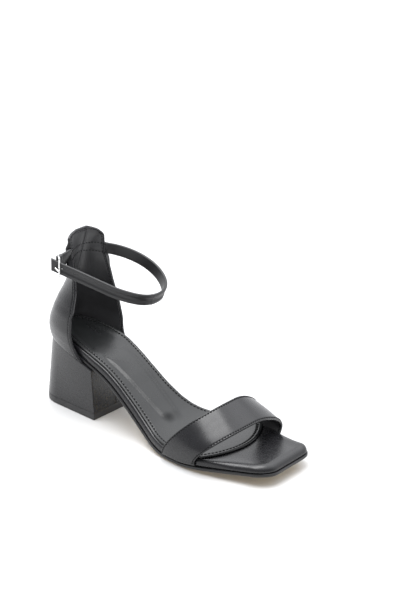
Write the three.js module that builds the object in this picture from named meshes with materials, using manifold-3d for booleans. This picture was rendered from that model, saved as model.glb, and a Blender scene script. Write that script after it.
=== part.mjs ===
// Women's block heel sandal, right shoe: square open toe, one wide toe strap,
// closed heel counter with a back tab, ankle strap with a small buckle.
// Millimetres. +X to the toe, +Y to the inner (medial) side, +Z up.
// The origin is the middle of the heel tread's underside, on the floor.
import * as THREE from 'three';
import { mergeVertices } from 'three/addons/utils/BufferGeometryUtils.js';
import Module from 'manifold-3d';

const wasm = await Module();
wasm.setup();

// Driving dimensions
const soleLength = 231.7; // board, from the back of the heel to the toe, along the floor
const ballWidth = 82; // widest part of the board
const heelHeight = 56.4; // floor to the underside of the sole at the back
const toeSpring = 8.2; // lift of the sole at the toe
const edgeRise = 1.3; // how far the sole's edges curl up from its middle
const clearance = 0.3; // between pieces that meet

const outsoleThickness = 2.5;
const boardThickness = 6.2;
const sockThickness = 1.7;
const sockInset = 1.8; // from the board's edge to the sock's edge
const lipRadius = 2.4; // rounded top edge of the board
const toeCornerLateral = 13;
const toeCornerMedial = 8;

const heelBaseLength = 65.4; // tread, back to breast
const heelBaseLateral = { back: 21.25, front: 25.5 }; // half widths of the tread, middle to side
const heelBaseMedial = { back: 19.5, front: 20.5 };
const treadThickness = 6;
const heelOverhang = 6.7; // how far the tread stands behind the board
const breastLean = 1; // how far the breast's foot stands before its top

const counterWall = 2.1;
const counterRise = 93; // seat to the top of the tab
const counterReach = 56.8; // back of the counter to its front edge, at the seat
const tunnelBulge = 2.9; // how far the strap's tunnel stands out of the wall

const toeStrapThickness = 2;
const toeStrapMargin = 7; // end turned in between board and outsole
const toeStrapRearHeight = 48.3; // floor to the top of the strap's rear edge
const toeStrapFrontHeight = 34.4; // and of its front edge

const ankleStrapWidth = 10;
const ankleStrapThickness = 2.2;
const ankleHeight = 132; // upper edge of the ankle strap where it leaves the tab
const ankleTilt = 22.3; // degrees, how the strap's loop falls to the front
const outerRise = 4.6; // how much higher the strap leaves the tab on its outer side
const foldThickness = 4; // short end, doubled round the buckle's hinge bar
const strapHole = 1.5; // diameter of a hole in the ankle strap

const buckleFrontHeight = 17.4; // over all, at the bar that crosses over the strap
const buckleHingeHeight = 15; // over all, at the bar in the fold
const buckleBar = 1.4; // diameter of the frame's wire
const prongDiameter = 1.4;

// Places worked out from them
const soleRear = -heelBaseLength / 2 + heelOverhang;
const soleFront = soleRear + soleLength;
const heelRear = -heelBaseLength / 2;
const breastFoot = heelBaseLength / 2;
const counterOffset = counterWall + clearance;
const counterRear = soleRear - counterOffset;
const tabTop = heelHeight + counterRise;
const boardBottom = outsoleThickness + clearance;
const boardTop = boardBottom + boardThickness;
const sockBottom = boardTop + clearance;
const sockTop = sockBottom + sockThickness;

const clamp = THREE.MathUtils.clamp;
const lerp = THREE.MathUtils.lerp;
const at = (share) => soleRear + share * soleLength;

// Smooth curve through a table's rows that never overshoots them.
// The rows are sorted by their first column, and `column` names the one that is read.
function along(rows, key, column, value) {
  const last = rows.length - 1;
  if (value <= rows[0][key]) return rows[0][column];
  if (value >= rows[last][key]) return rows[last][column];
  const slope = (i) => (rows[i + 1][column] - rows[i][column]) / (rows[i + 1][key] - rows[i][key]);
  const tangent = (i) => {
    if (i === 0) return slope(0);
    if (i === last) return slope(last - 1);
    const [before, after] = [slope(i - 1), slope(i)];
    return before * after <= 0 ? 0 : (2 * before * after) / (before + after);
  };
  const i = rows.findIndex((row) => row[key] > value) - 1;
  const width = rows[i + 1][key] - rows[i][key];
  const u = (value - rows[i][key]) / width;
  return (
    (1 + 2 * u) * (1 - u) ** 2 * rows[i][column] +
    u * (1 - u) ** 2 * width * tangent(i) +
    u * u * (3 - 2 * u) * rows[i + 1][column] +
    u * u * (u - 1) * width * tangent(i + 1)
  );
}

const table = (columns, rows) => rows.map((row) => Object.fromEntries(columns.map((name, i) => [name, row[i]])));

// Underside of the sole along its middle: arch in shares of the heel height, toe in shares of the spring.
const soleProfile = table(['share', 'arch', 'toe'], [
  [0, 1, 0],
  [0.033, 0.975, 0],
  [0.12, 0.901, 0],
  [0.206, 0.803, 0],
  [0.271, 0.707, 0],
  [0.335, 0.572, 0],
  [0.379, 0.452, 0],
  [0.422, 0.335, 0],
  [0.465, 0.217, 0],
  [0.508, 0.116, 0],
  [0.551, 0.046, 0],
  [0.594, 0.009, 0],
  [0.62, 0, 0],
  [0.685, 0, 0],
  [0.732, 0, 0.12],
  [0.797, 0, 0.34],
  [0.858, 0, 0.53],
  [0.918, 0, 0.7],
  [1, 0, 1],
]);

// Half breadths of the board to either side of the middle line, in shares of the ball width.
const soleBreadth = table(['share', 'lateral', 'medial'], [
  [0, 0.304, 0.292],
  [0.12, 0.304, 0.292],
  [0.206, 0.309, 0.286],
  [0.24, 0.315, 0.272],
  [0.292, 0.317, 0.248],
  [0.344, 0.327, 0.232],
  [0.396, 0.341, 0.234],
  [0.448, 0.362, 0.255],
  [0.499, 0.392, 0.3],
  [0.551, 0.438, 0.363],
  [0.603, 0.475, 0.42],
  [0.659, 0.496, 0.463],
  [0.715, 0.504, 0.487],
  [0.767, 0.493, 0.483],
  [0.819, 0.463, 0.454],
  [0.871, 0.422, 0.415],
  [0.922, 0.381, 0.378],
  [0.961, 0.355, 0.356],
  [1, 0.332, 0.338],
]);

// Heel counter, row by row from the seat to the top of the tab: lean of the back in shares of its
// rise, front edges in shares of its reach, half width in shares of the seat's, and how round the
// plan is (2 and over is a full U, 1 is a shallow bow).
const counterRows = table(
  ['share', 'back', 'edgeLateral', 'edgeMedial', 'lateral', 'medial', 'round', 'side'],
  [
    [0, 0, 0.88, 0.88, 1, 1, 2.35, 2.35],
    [0.05, -0.011, 0.775, 0.84, 1.02, 1.02, 2.35, 2.35],
    [0.1, -0.012, 0.73, 0.79, 1.06, 1.06, 2.3, 2.3],
    [0.2, 0.012, 0.72, 0.745, 1.12, 1.12, 2.25, 2.25],
    [0.3, 0.052, 0.724, 0.7, 1.11, 1.11, 2.2, 2.2],
    [0.4, 0.092, 0.75, 0.662, 1.045, 1.045, 2.05, 2.1],
    [0.5, 0.141, 0.748, 0.639, 0.955, 0.955, 1.75, 2],
    [0.6, 0.185, 0.71, 0.621, 0.877, 0.877, 1.4, 2],
    [0.7, 0.22, 0.636, 0.602, 0.812, 0.775, 1.15, 2],
    [0.8, 0.253, 0.585, 0.583, 0.78, 0.7, 1, 2],
    [0.88, 0.277, 0.575, 0.56, 0.79, 0.718, 1, 2],
    [0.94, 0.296, 0.56, 0.541, 0.825, 0.536, 1, 2],
    [0.98, 0.307, 0.535, 0.523, 0.66, 0.25, 1, 2],
    [1, 0.313, 0.522, 0.522, 0.41, 0.04, 1, 2],
  ],
);

const materials = {
  leather: new THREE.MeshStandardMaterial({ color: 0x1c1c1e, roughness: 0.42, metalness: 0 }),
  lining: new THREE.MeshStandardMaterial({ color: 0x2b2c2c, roughness: 0.55, metalness: 0 }),
  rubber: new THREE.MeshStandardMaterial({ color: 0x151515, roughness: 0.7, metalness: 0 }),
  sheet: new THREE.MeshStandardMaterial({ color: 0xb59a72, roughness: 0.6, metalness: 0 }),
  metal: new THREE.MeshStandardMaterial({ color: 0xc9c9c6, roughness: 0.25, metalness: 1 }),
};

// Closed solid on the outside of a lattice of nu x nt x nk cells, each corner placed by `place`.
function lattice(nu, nt, nk, place) {
  const positions = [];
  const index = [];
  const known = new Map();
  const corner = (i, j, k) => {
    const key = `${i},${j},${k}`;
    if (!known.has(key)) {
      known.set(key, positions.length / 3);
      positions.push(...place(i / nu, j / nt, k / nk).toArray());
    }
    return known.get(key);
  };
  const quad = (a, b, c, d) => index.push(a, b, c, a, c, d);
  const sheet = (n, m, point) => {
    for (let i = 0; i < n; i++) {
      for (let j = 0; j < m; j++) quad(point(i, j), point(i + 1, j), point(i + 1, j + 1), point(i, j + 1));
    }
  };
  sheet(nu, nt, (i, j) => corner(i, j, nk));
  sheet(nt, nu, (j, i) => corner(i, j, 0));
  sheet(nt, nk, (j, k) => corner(nu, j, k));
  sheet(nk, nt, (k, j) => corner(0, j, k));
  sheet(nk, nu, (k, i) => corner(i, nt, k));
  sheet(nu, nk, (i, k) => corner(i, 0, k));
  const geometry = new THREE.BufferGeometry();
  geometry.setAttribute('position', new THREE.Float32BufferAttribute(positions, 3));
  geometry.setIndex(volume(positions, index) < 0 ? index.reverse() : index);
  return geometry;
}

function volume(positions, index) {
  const point = (i) => new THREE.Vector3().fromArray(positions, 3 * i);
  let sum = 0;
  for (let i = 0; i < index.length; i += 3) {
    sum += point(index[i]).dot(point(index[i + 1]).cross(point(index[i + 2]))) / 6;
  }
  return sum;
}

const solid = (geometry) =>
  new wasm.Manifold(
    new wasm.Mesh({
      numProp: 3,
      vertProperties: new Float32Array(geometry.attributes.position.array),
      triVerts: new Uint32Array(geometry.index.array),
    }),
  );

function cut(geometry, ...tools) {
  let result = solid(geometry);
  for (const tool of tools) result = result.subtract(solid(tool));
  const mesh = result.getMesh();
  const cutGeometry = new THREE.BufferGeometry();
  cutGeometry.setAttribute('position', new THREE.BufferAttribute(new Float32Array(mesh.vertProperties), 3));
  cutGeometry.setIndex(new THREE.BufferAttribute(new Uint32Array(mesh.triVerts), 1));
  return cutGeometry;
}

// Sole

function soleLift(x) {
  const share = (x - soleRear) / soleLength;
  return heelHeight * along(soleProfile, 'share', 'arch', share) + toeSpring * along(soleProfile, 'share', 'toe', share);
}

// Board's breadth from the middle line to one side (-1 lateral, 1 medial), before its ends are rounded.
function breadth(x, side) {
  const column = side < 0 ? 'lateral' : 'medial';
  return ballWidth * along(soleBreadth, 'share', column, (x - soleRear) / soleLength);
}

// The sole's edges curl up over the outer half of its breadth.
function edgeCurl(x, y) {
  const across = Math.abs(y) / breadth(x, Math.sign(y) || 1);
  return edgeRise * clamp((across - 0.5) / 0.5, 0, 1) ** 2;
}

// Point of the sole at `height` above the place (x, y) of its underside.
function solePoint(x, y, height) {
  const step = 0.5;
  const slope = (soleLift(x + step) - soleLift(x - step)) / (2 * step);
  const normal = new THREE.Vector2(-slope, 1).normalize();
  return new THREE.Vector3(x + normal.x * height, y, soleLift(x) + normal.y * height + edgeCurl(x, y));
}

// How full the outline is near the round back, from 0 at the back to 1 at the counter's reach.
function heelFullness(x, inset, round = counterRows[0].round, side = counterRows[0].side) {
  const reach = counterRear + counterReach;
  const behind = clamp((reach - x) / (reach - (soleRear + inset)), 0, 1);
  return (1 - (0.996 * behind) ** round) ** (1 / side);
}

// Half breadth of the board at x on one side (-1 lateral, 1 medial), with its edge moved in by inset.
function halfBreadth(x, side, inset) {
  const corner = Math.max((side < 0 ? toeCornerLateral : toeCornerMedial) - inset, 1);
  const full = breadth(x, side) - inset;
  const intoCorner = Math.max(0, x - (soleFront - inset - corner));
  const cornerLoss = corner - Math.sqrt(Math.max(0, corner ** 2 - intoCorner ** 2));
  return full * heelFullness(x, inset) - cornerLoss;
}

// Stations lie closer together towards both ends.
const station = (u, back, front) => back + (front - back) * lerp(u, (1 - Math.cos(Math.PI * u)) / 2, 0.75);

// One layer of the sole; `edge` gives inset and height of its side at each level of the lattice.
function soleLayer(nu, nt, edge, front = soleFront) {
  return lattice(nu, nt, edge.length - 1, (u, t, k) => {
    const [inset, height] = edge[Math.round(k * (edge.length - 1))];
    const x = station(u, soleRear + inset, front - inset);
    const across = 2 * t - 1;
    const y = across * halfBreadth(x, Math.sign(across) || 1, inset);
    return solePoint(x, y, height);
  });
}

const outsole = () =>
  soleLayer(40, 6, [
    [0.6, 0],
    [0, 0.6],
    [0, outsoleThickness],
  ]);

const insoleBoard = () =>
  soleLayer(38, 6, [
    [1.2, boardBottom],
    [0.6, boardBottom + 0.9],
    [0.6, boardTop - lipRadius],
    [0.6 + lipRadius * 0.29, boardTop - lipRadius * 0.29],
    [0.6 + lipRadius, boardTop],
  ]);

// The sock stops short of the toe, in an arc that bows forward.
const sockFront = at(0.832);
const sockBow = 13;

function sock() {
  const edge = [
    [sockInset + 0.2, sockBottom],
    [sockInset, sockBottom + sockThickness * 0.45],
    [sockInset + 1, sockTop],
  ];
  return lattice(32, 6, edge.length - 1, (u, t, k) => {
    const [inset, height] = edge[Math.round(k * (edge.length - 1))];
    const across = 2 * t - 1;
    const front = sockFront - (inset - sockInset) - sockBow * across ** 2;
    const x = station(u, soleRear + inset, front);
    const y = across * halfBreadth(x, Math.sign(across) || 1, inset);
    return solePoint(x, y, height);
  });
}

// Heel

function heelBase(u, t, inset) {
  const x = lerp(heelRear + inset, breastFoot - inset, u);
  const width = t < 0.5 ? heelBaseLateral : heelBaseMedial;
  const half = lerp(width.back, width.front, u) - inset;
  const behind = clamp(1 - (x - heelRear - inset) / heelBaseLateral.back, 0, 1);
  return new THREE.Vector2(x, (2 * t - 1) * half * (1 - (0.99 * behind) ** 2.2) ** (1 / 2.2));
}

// The top follows the counter, and narrows to the board's own breadth where it passes the counter's end.
function heelTop(u, t) {
  const x = lerp(counterRear, breastFoot - breastLean, u);
  const side = t < 0.5 ? -1 : 1;
  const passed = side < 0 ? 0 : clamp((u - 0.7) / 0.3, 0, 1);
  const half = lerp(breadth(soleRear, side) + counterOffset, breadth(x, side), passed);
  return new THREE.Vector2(x, (2 * t - 1) * half * heelFullness(x, -counterOffset));
}

const heelSpacing = (u) => 1 - Math.cos((Math.PI / 2) * u) * (1 - 0.12 * u);

const heelTread = () =>
  lattice(14, 4, 2, (u, t, k) => {
    const inset = k === 0 ? 0.5 : 0;
    const place = heelBase(heelSpacing(u), t, inset);
    return new THREE.Vector3(place.x, place.y, k * treadThickness);
  });

function heelBlock() {
  const foot = treadThickness + clearance;
  return lattice(14, 6, 3, (u, t, k) => {
    const low = heelBase(heelSpacing(u), t, 0);
    const high = heelTop(heelSpacing(u), t);
    const place = low.lerp(high, k);
    const seat = solePoint(place.x, place.y, 0).z - clearance;
    return new THREE.Vector3(place.x, place.y, lerp(foot, seat, k));
  });
}

// Counter

// Outer surface of the counter: `around` -1 lateral front edge, 0 back, 1 medial front edge.
function counterSurface(around, share) {
  const read = (column) => along(counterRows, 'share', column, share);
  const medial = around > 0;
  const back = counterRear + counterRise * read('back');
  const edge = counterRear + counterReach * read(medial ? 'edgeMedial' : 'edgeLateral');
  const seatHalf = breadth(soleRear, medial ? 1 : -1) + counterOffset;
  const sine = Math.sin((Math.PI / 2) * Math.abs(around));
  const x = edge - (edge - back) * Math.max(0, 1 - sine ** read('side')) ** (1 / read('round'));
  const y = Math.sign(around) * seatHalf * read(medial ? 'medial' : 'lateral') * sine;
  return new THREE.Vector3(x, y, lerp(soleLift(x) + edgeCurl(x, y), tabTop, share));
}

function counterNormal(around, share) {
  const step = 0.004;
  const a = clamp(around, -1 + step, 1 - step);
  const s = clamp(share, step, 1 - step);
  const du = counterSurface(a + step, s).sub(counterSurface(a - step, s));
  const ds = counterSurface(a, s + step).sub(counterSurface(a, s - step));
  return ds.cross(du).normalize();
}

// How far the tunnel for the ankle strap stands out at a share of the counter's rise.
const tunnelLow = 0.665;
const tunnelHigh = 0.875;
const tunnelRamp = 0.04;
function tunnelStep(share) {
  const up = clamp((share - tunnelLow + tunnelRamp) / tunnelRamp, 0, 1);
  const down = clamp((tunnelHigh + tunnelRamp - share) / tunnelRamp, 0, 1);
  return tunnelBulge * Math.min(up, down);
}

const counterLevels = [
  0, 0.025, 0.06, 0.11, 0.17, 0.25, 0.33, 0.41, 0.49, 0.57, tunnelLow - tunnelRamp, tunnelLow, 0.77, tunnelHigh,
  tunnelHigh + tunnelRamp, 0.935, 0.965, 0.985, 1,
];

function counterWallSolid(grow = 0) {
  const last = counterLevels.length - 1;
  return lattice(28, last, 2, (u, t, k) => {
    const share = counterLevels[Math.round(t * last)];
    const around = 2 * u - 1;
    const outward = lerp(-counterWall - grow, tunnelStep(share) + grow, k);
    return counterSurface(around, share).addScaledVector(counterNormal(around, share), outward);
  });
}

// Ankle strap

const tilt = THREE.MathUtils.degToRad(ankleTilt);
const strapUp = new THREE.Vector3(Math.sin(tilt), 0, Math.cos(tilt));
const tabEdge = counterRear + 0.575 * counterReach;

// Middle line of the strap over a place (x, y) of the plan.
function strapPlace(x, y) {
  const upper = new THREE.Vector3(x, y, ankleHeight - Math.tan(tilt) * (x - tabEdge));
  return upper.addScaledVector(strapUp, -ankleStrapWidth / 2);
}

// Where the strap runs inside the tunnel: the middle of the thickened wall, at the strap's own height.
function tunnelPlace(around) {
  let share = (tunnelLow + tunnelHigh) / 2;
  let place = new THREE.Vector3();
  for (let i = 0; i < 12; i++) {
    const middle = (tunnelBulge - counterWall) / 2;
    place = counterSurface(around, share).addScaledVector(counterNormal(around, share), middle);
    const wanted = strapPlace(place.x, place.y).z + outerRise * clamp(-around, 0, 1) ** 2;
    share += (wanted - place.z) / counterRise;
  }
  return place;
}

// The loop in plan, in millimetres from the tab's edge (x) and the middle line (y): out of the tunnel
// on the inner side, round the front with its crease, and straight back to the buckle.
const strapLoop = [
  [7, 26.6],
  [15, 33.2],
  [25.2, 37.7],
  [36, 38.5],
  [46.6, 35.6],
  [55.5, 29.3],
  [61, 21],
  [62.4, 12],
  [61.6, 5.2],
  [59, -1.2],
  [53.8, -7.8],
  [45.6, -14.8],
  [36.2, -20],
  [26.7, -24.7],
  [17.2, -29.4],
  [9, -33.8],
  [4.5, -36],
  [2.5, -36.9],
  [-0.8, -38.5],
];
const planPlace = ([x, y]) => strapPlace(tabEdge + x, y);

// Its short end comes out of the tunnel on the outer side, from the fold to the tab's edge.
const shortEnd = [
  [-0.4, -34.6, -3.6],
  [-0.1, -31, -2.5],
  [0.3, -26.6, -1.2],
].map(([x, y, z]) => new THREE.Vector3(tabEdge + x, y, ankleHeight + z));

const strapCurve = new THREE.CatmullRomCurve3(
  [...shortEnd, ...[-1, -0.72, -0.45, -0.2, 0, 0.2, 0.45, 0.72, 1].map(tunnelPlace), ...strapLoop.map(planPlace)],
  false,
  'centripetal',
);

// Place on the strap's middle line, with the direction of its width and the one out of its face.
function strapFrame(share) {
  const lean = tilt * clamp(share / 0.1, 0, 1) * clamp((1 - share) / 0.03, 0, 1);
  const up = new THREE.Vector3(Math.sin(lean), 0, Math.cos(lean));
  return { place: strapCurve.getPoint(share), up, out: strapCurve.getTangent(share).cross(up).normalize() };
}

function ankleStrapSolid(grow = 0) {
  const half = ankleStrapWidth / 2 + grow;
  const edgeRound = grow > 0 ? 0 : 0.2 * ankleStrapThickness;
  return lattice(76, 2, 2, (u, t, k) => {
    const { place, up, out } = strapFrame(u);
    const fold = 1 - clamp((u - 0.027) / 0.015, 0, 1);
    const thick = lerp(ankleStrapThickness, foldThickness, fold) / 2 + grow;
    const rise = half - edgeRound * Math.abs(2 * k - 1);
    return place.addScaledVector(up, rise * (2 * t - 1)).addScaledVector(out, (2 * k - 1) * thick);
  });
}

function merged(geometry) {
  geometry.deleteAttribute('normal');
  geometry.deleteAttribute('uv');
  return mergeVertices(geometry, 1e-4);
}

// Round pin along a curve, its ends closed.
function pin(curve, diameter, steps) {
  const shape = new THREE.Shape().absarc(0, 0, diameter / 2, 0, 2 * Math.PI);
  return merged(new THREE.ExtrudeGeometry(shape, { extrudePath: curve, steps, curveSegments: 5 }));
}

// Buckle: a wire frame hinged in the short end's fold. The long end comes out from under its front bar
// and lies over its hinge bar.
const hingeBar = planPlace([1.5, -33.1]).setZ(ankleHeight - 4.8);
const frontBar = planPlace([6.7, -37.4]).setZ(ankleHeight - 5.7);

function buckleFrame(grow = 0) {
  const forward = frontBar.clone().sub(hingeBar);
  const length = forward.length();
  forward.normalize();
  const up = new THREE.Vector3(0, 0, 1).projectOnPlane(forward).normalize();
  const facing = forward.clone().cross(up);
  const corners = [
    [0, -buckleHingeHeight / 2],
    [length, -buckleFrontHeight / 2],
    [length, buckleFrontHeight / 2],
    [0, buckleHingeHeight / 2],
  ].map(([x, y]) => new THREE.Vector2(x, y - Math.sign(y) * (buckleBar / 2)));
  const path = corners.flatMap((corner, i) => {
    const before = corners[(i + 3) % 4].clone().sub(corner).setLength(1.6).add(corner);
    const after = corners[(i + 1) % 4].clone().sub(corner).setLength(1.6).add(corner);
    return new THREE.QuadraticBezierCurve(before, corner, after).getPoints(4);
  });
  return ring(path, buckleBar / 2 + grow).applyMatrix4(
    new THREE.Matrix4().makeBasis(forward, up, facing).setPosition(hingeBar),
  );
}

// Closed ring of round wire round a flat path.
function ring(path, radius) {
  const around = 8;
  const positions = [];
  const index = [];
  path.forEach((point, i) => {
    const side = path[(i + 1) % path.length].clone().sub(path[(i + path.length - 1) % path.length]).normalize();
    for (let j = 0; j < around; j++) {
      const angle = (2 * Math.PI * j) / around;
      const out = radius * Math.cos(angle);
      positions.push(point.x + side.y * out, point.y - side.x * out, radius * Math.sin(angle));
      const [next, turn] = [((i + 1) % path.length) * around, (j + 1) % around];
      index.push(i * around + j, next + j, next + turn, i * around + j, next + turn, i * around + turn);
    }
  });
  const geometry = new THREE.BufferGeometry();
  geometry.setAttribute('position', new THREE.Float32BufferAttribute(positions, 3));
  geometry.setIndex(volume(positions, index) < 0 ? index.reverse() : index);
  return geometry;
}

// The prong starts at the hinge bar, comes out through the strap and lies on the front bar.
const prongCurve = new THREE.CatmullRomCurve3(
  [
    [1.74, -34.2],
    [2.3, -35.6],
    [2.9, -37.2],
    [4, -38.7],
    [5.9, -39.3],
    [8.3, -39.4],
  ].map(planPlace),
);
const prong = (grow = 0) => pin(prongCurve, prongDiameter + 2 * grow, 10);

// Spare holes in front of the buckle, through the strap.
function holePin(share) {
  const { place, out } = strapFrame(share);
  const ends = [-1, 1].map((side) => place.clone().addScaledVector(out, side * ankleStrapThickness));
  return pin(new THREE.LineCurve3(...ends), strapHole, 1);
}
const spareHoles = [0.875, 0.915].map(holePin);

// Toe strap: `across` runs -1 at the lateral edge of the board, over the foot, to 1 at the medial one,
// and past them under the board; `share` runs 0 at its rear edge to 1 at its front edge.
const toeStrapEnds = table(['side', 'rear', 'front'], [
  [-1, 0.612, 0.758],
  [1, 0.715, 0.847],
]);
const toeStrapTop = { rear: 0.766, front: 0.857 };
const toeStrapSides = { lateral: { squareness: 2.7, bow: 1.8 }, medial: { squareness: 1.8, bow: 4.8 } };

function toeStrapPlace(across, share) {
  const side = Math.sign(across) || 1;
  const row = toeStrapEnds.find((end) => end.side === side);
  const endX = lerp(at(row.rear), at(row.front), share);
  const endY = halfBreadth(endX, side, 0.6) + clearance + toeStrapThickness / 2;
  const marginHeight = outsoleThickness + clearance + toeStrapThickness / 2;
  const bend = toeStrapThickness;
  const over = Math.abs(across) - 1;
  if (over > 0) {
    const turn = clamp(over / 0.1, 0, 1) * (Math.PI / 2);
    const inward = over > 0.1 ? (over - 0.1) * 10 * toeStrapMargin : 0;
    const y = endY - bend * (1 - Math.cos(turn)) - inward;
    return solePoint(endX, side * y, marginHeight + bend * (1 - Math.sin(turn)));
  }
  const { squareness, bow } = toeStrapSides[side < 0 ? 'lateral' : 'medial'];
  const angle = (Math.PI / 2) * (1 - Math.abs(across));
  const rise = Math.sin(angle) ** (2 / squareness);
  const low = solePoint(endX, side * endY, marginHeight + bend);
  const high = lerp(toeStrapRearHeight, toeStrapFrontHeight, share) - toeStrapThickness / 2;
  const topX = lerp(at(toeStrapTop.rear), at(toeStrapTop.front), share);
  return new THREE.Vector3(
    lerp(low.x, topX, rise ** 1.3),
    side * (endY * Math.cos(angle) ** (2 / squareness) + bow * Math.sin(Math.PI * rise) * Math.cos(angle)),
    lerp(low.z, high, rise),
  );
}

function toeStrapNormal(across, share) {
  const step = 0.01;
  const s = clamp(share, step, 1 - step);
  const du = toeStrapPlace(across + step, s).sub(toeStrapPlace(across - step, s));
  const ds = toeStrapPlace(across, s + step).sub(toeStrapPlace(across, s - step));
  return ds.cross(du).normalize();
}

const toeStrapStations = [
  -1.1, -1.05, -1, -0.93, -0.84, -0.74, -0.63, -0.52, -0.41, -0.3, -0.2, -0.1, 0, 0.1, 0.2, 0.3, 0.41, 0.52, 0.63,
  0.74, 0.84, 0.93, 1, 1.05, 1.1,
];

function toeStrapSolid(grow = 0) {
  const marginEnd = 1.2 + grow / (10 * toeStrapMargin);
  const stations = [-marginEnd, ...toeStrapStations, marginEnd];
  const last = stations.length - 1;
  const spread = grow / ((toeStrapTop.front - toeStrapTop.rear) * soleLength);
  return lattice(last, 6, 2, (u, t, k) => {
    const across = stations[Math.round(u * last)];
    const rounding = 0.012 * Math.abs(2 * k - 1) * (grow > 0 ? 0 : 1);
    const share = lerp(-spread + rounding, 1 + spread - rounding, t);
    const outward = (2 * k - 1) * (toeStrapThickness / 2 + grow);
    return toeStrapPlace(across, share).addScaledVector(toeStrapNormal(across, share), outward);
  });
}

const root = new THREE.Group();
function add(name, geometry, material) {
  const mesh = new THREE.Mesh(geometry, materials[material]);
  mesh.name = name;
  root.add(mesh);
}

const grown = { counter: counterWallSolid(clearance), toeStrap: toeStrapSolid(clearance) };

add('outsole', cut(outsole(), grown.counter), 'sheet');
add('insole_board', cut(insoleBoard(), grown.counter, grown.toeStrap), 'leather');
add('sock', cut(sock(), grown.counter), 'lining');
add('heel_block', heelBlock(), 'leather');
add('heel_tread', heelTread(), 'rubber');
add('counter', cut(counterWallSolid(), ankleStrapSolid(clearance)), 'leather');
add('toe_strap', toeStrapSolid(), 'leather');
add('ankle_strap', cut(ankleStrapSolid(), buckleFrame(clearance), prong(clearance), ...spareHoles), 'leather');
add('buckle_frame', buckleFrame(), 'metal');
add('buckle_prong', prong(), 'metal');

export default root;
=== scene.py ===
import math

import bmesh
import bpy
import numpy as np
from mathutils import Matrix, Vector


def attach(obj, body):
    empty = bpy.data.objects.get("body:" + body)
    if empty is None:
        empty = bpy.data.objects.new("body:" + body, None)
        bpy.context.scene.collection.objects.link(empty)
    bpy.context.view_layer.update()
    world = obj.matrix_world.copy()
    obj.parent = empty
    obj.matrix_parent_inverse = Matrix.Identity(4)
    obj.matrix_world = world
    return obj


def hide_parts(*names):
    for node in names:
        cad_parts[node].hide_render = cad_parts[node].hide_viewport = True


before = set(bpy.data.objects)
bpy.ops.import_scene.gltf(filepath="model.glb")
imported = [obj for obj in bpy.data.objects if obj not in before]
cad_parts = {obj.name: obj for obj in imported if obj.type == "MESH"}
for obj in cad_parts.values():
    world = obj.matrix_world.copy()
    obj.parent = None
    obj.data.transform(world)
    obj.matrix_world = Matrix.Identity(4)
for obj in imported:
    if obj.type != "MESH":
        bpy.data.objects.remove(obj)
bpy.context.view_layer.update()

# Outsole: a thin rubber sheet, tan underneath, its edge painted black.
# It is moulded to the arch, cut to the outline of the last and cemented under the board.
# All sizes in this script are millimetres; +X to the toe, +Y to the inner side, +Z up.
SOLE_REAR = -26.0
SOLE_LENGTH = 231.7
SOLE_FRONT = SOLE_REAR + SOLE_LENGTH
BALL_WIDTH = 82.0
HEEL_HEIGHT = 56.4
TOE_SPRING = 8.2
EDGE_RISE = 1.3
GAP = 0.3
TOE_CORNER = {-1: 13.0, 1: 8.0}
COUNTER_REAR = -28.4
COUNTER_REACH = 56.8
HEEL_ROUND = 2.35
TOE_EDGE_SPAN = (140, 165)  # where a rim that is fuller at the toe takes that form
OUTSOLE_EDGE = [  # inset from the outline, height
    (1.0, 0.0), (0.45, 0.12), (0.1, 0.45), (0.0, 0.9), (0.0, 1.9), (0.15, 2.3), (0.6, 2.5),
]
SOLE_ROWS = np.array([  # share of the length, share of the heel's height, share of the toe's spring
    (0, 1, 0), (0.033, 0.975, 0), (0.12, 0.901, 0), (0.206, 0.803, 0), (0.271, 0.707, 0),
    (0.335, 0.572, 0), (0.379, 0.452, 0), (0.422, 0.335, 0), (0.465, 0.217, 0), (0.508, 0.116, 0),
    (0.551, 0.046, 0), (0.594, 0.009, 0), (0.62, 0, 0), (0.685, 0, 0), (0.732, 0, 0.12),
    (0.797, 0, 0.34), (0.858, 0, 0.53), (0.918, 0, 0.7), (1, 0, 1),
])
BREADTH_ROWS = np.array([  # share of the length, lateral and medial half breadth over the ball width
    (0, 0.304, 0.292), (0.12, 0.304, 0.292), (0.206, 0.309, 0.286), (0.24, 0.315, 0.272),
    (0.292, 0.317, 0.248), (0.344, 0.327, 0.232), (0.396, 0.341, 0.234), (0.448, 0.362, 0.255),
    (0.499, 0.392, 0.3), (0.551, 0.438, 0.363), (0.603, 0.475, 0.42), (0.659, 0.496, 0.463),
    (0.715, 0.504, 0.487), (0.767, 0.493, 0.483), (0.819, 0.463, 0.454), (0.871, 0.422, 0.415),
    (0.922, 0.381, 0.378), (0.961, 0.355, 0.356), (1, 0.332, 0.338),
])


def smooth(keys, values):
    """Curve through values that never overshoots them, as a function of the key."""
    keys, values = np.asarray(keys, float), np.asarray(values, float)
    slope = np.diff(values) / np.diff(keys)
    before, after = slope[:-1], slope[1:]
    turning = before * after <= 0
    inner = np.where(turning, 0, 2 * before * after / np.where(turning, 1, before + after))
    tangent = np.concatenate([slope[:1], inner, slope[-1:]])

    def read(place):
        place = np.clip(place, keys[0], keys[-1])
        i = np.clip(np.searchsorted(keys, place, side="right") - 1, 0, len(keys) - 2)
        width = keys[i + 1] - keys[i]
        u = (place - keys[i]) / width
        start = (1 + 2 * u) * (1 - u) ** 2 * values[i] + u * (1 - u) ** 2 * width * tangent[i]
        end = u * u * (3 - 2 * u) * values[i + 1] + u * u * (u - 1) * width * tangent[i + 1]
        return start + end

    return read


read_arch = smooth(SOLE_ROWS[:, 0], SOLE_ROWS[:, 1])
read_toe = smooth(SOLE_ROWS[:, 0], SOLE_ROWS[:, 2])
read_breadth = {
    -1: smooth(BREADTH_ROWS[:, 0], BREADTH_ROWS[:, 1]),
    1: smooth(BREADTH_ROWS[:, 0], BREADTH_ROWS[:, 2]),
}


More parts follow.
